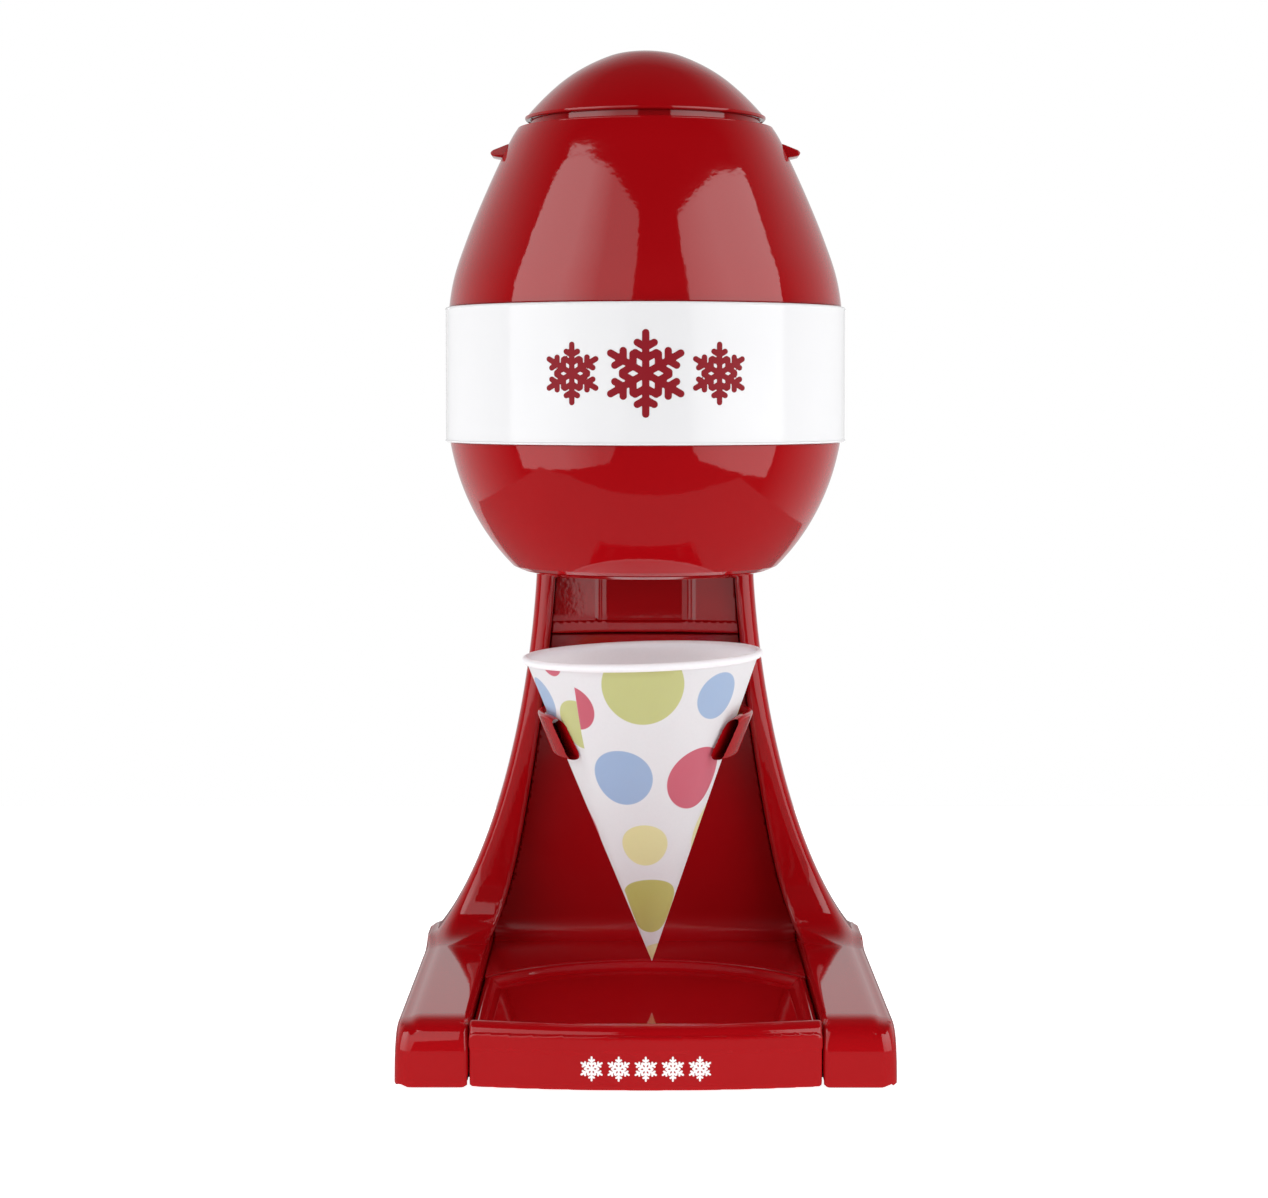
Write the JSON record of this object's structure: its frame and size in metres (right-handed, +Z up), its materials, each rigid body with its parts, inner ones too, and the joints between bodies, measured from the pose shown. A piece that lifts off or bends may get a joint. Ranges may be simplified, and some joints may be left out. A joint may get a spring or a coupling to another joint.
{
  "type": "shaved ice machine",
  "caption": "Egg-shaped counter-top shaved ice machine: pressing the dome spins a blade disc under the ice hopper and snow drops into a paper cone held over a slide-out drip tray.",
  "frame": {"origin": "on the surface it stands on, at the middle of the footprint box", "axes": "+Z up, the front with the drip tray faces -Y, +X to the viewer's right"},
  "size_m": [0.1842, 0.2081, 0.3892],
  "materials": {
    "red_plastic": "high gloss",
    "dark_red_plastic": "gloss",
    "white_plastic": "high gloss",
    "cup_paper": "waxed paper with dots",
    "clear_plastic": "smoke clear",
    "black_plastic": "satin",
    "foot_rubber": "matt",
    "steel": "brushed",
    "brass": "satin",
    "nylon": "natural"
  },
  "bodies": {
    "root": {"stand_shell": "red_plastic", "neck_panel": "red_plastic", "cone_holder": "red_plastic", "lower_shell": "red_plastic", "upper_shell": "red_plastic", "channel_liner": "dark_red_plastic", "centre_band": "white_plastic", "ice_hopper": "clear_plastic", "base_plate": "black_plastic", "microswitch": "black_plastic", "cord_inlet": "black_plastic", "foot_pad_front_left": "foot_rubber", "foot_pad_front_right": "foot_rubber", "foot_pad_rear_left": "foot_rubber", "foot_pad_rear_right": "foot_rubber", "base_screw_1": "steel", "base_screw_2": "steel", "base_screw_3": "steel", "base_screw_4": "steel", "neck_screw_1": "steel", "neck_screw_2": "steel", "holder_screw_1": "steel", "holder_screw_2": "steel", "motor_body": "steel", "latch_pin_left": "steel", "latch_pin_right": "steel", "upper_bush": "brass", "lower_bush": "brass", "mechanism_deck": "nylon", "snow_duct": "nylon", "gearbox_plate": "nylon"},
    "tray": {"drip_tray": "red_plastic"},
    "cup": {"paper_cup": "cup_paper"},
    "lid": {"lid_ring": "red_plastic"},
    "dome": {"press_dome": "red_plastic"},
    "press": {"press_plate": "nylon", "press_spring": "steel"},
    "blades": {"blade_disc": "steel", "blade_left": "steel", "blade_right": "steel", "disc_nut": "steel", "blade_shaft": "steel", "drive_gear": "nylon"},
    "rotor": {"rotor_shaft": "steel", "pinion": "brass"},
    "rod": {"interlock_rod": "nylon"},
    "ear_left": {"latch_left": "red_plastic"},
    "ear_right": {"latch_right": "red_plastic"}
  },
  "joints": [
    {"name": "tray_slide", "type": "slide", "parent": "root", "child": "tray", "axis": [0, -1, 0], "range_m": [0, 0.12]},
    {"name": "cup_lift", "type": "slide", "parent": "root", "child": "cup", "axis": [0, 0, 1], "range_m": [0, 0.02]},
    {"name": "lid_lift", "type": "slide", "parent": "root", "child": "lid", "axis": [0, 0, 1], "range_m": [0, 0.13]},
    {"name": "dome_press", "type": "slide", "parent": "lid", "child": "dome", "axis": [0, 0, -1], "range_m": [0, 0.003], "stiffness_N_per_m": 600, "springref_m": -0.004},
    {"name": "ice_press", "type": "slide", "parent": "dome", "child": "press", "axis": [0, 0, 1], "range_m": [0, 0.038], "stiffness_N_per_m": 60, "springref_m": -0.02, "deforming": ["press_spring"]},
    {"name": "blade_spin", "type": "hinge", "parent": "root", "child": "blades", "pos_m": [0, 0.007, 0.25], "axis": [0, 0, 1], "continuous": true},
    {"name": "rotor_spin", "type": "hinge", "parent": "root", "child": "rotor", "pos_m": [0, 0.037, 0.22], "axis": [0, 0, 1], "continuous": true},
    {"name": "rod_press", "type": "slide", "parent": "root", "child": "rod", "axis": [0, 0, -1], "range_m": [0, 0.003], "stiffness_N_per_m": 80, "springref_m": -0.001},
    {"name": "ear_left_press", "type": "hinge", "parent": "root", "child": "ear_left", "pos_m": [-0.0514, 0.007, 0.3489], "axis": [0, -1, 0], "range_deg": [0, 8], "stiffness_Nm_per_rad": 0.03, "springref_deg": -5.73},
    {"name": "ear_right_press", "type": "hinge", "parent": "root", "child": "ear_right", "pos_m": [0.0514, 0.007, 0.3489], "axis": [0, 1, 0], "range_deg": [0, 8], "stiffness_Nm_per_rad": 0.03, "springref_deg": -5.73}
  ],
  "couplings": [
    {"joint": "rotor_spin", "follows": "blade_spin", "ratio": -4},
    {"joint": "rod_press", "follows": "dome_press", "ratio": 1}
  ]
}
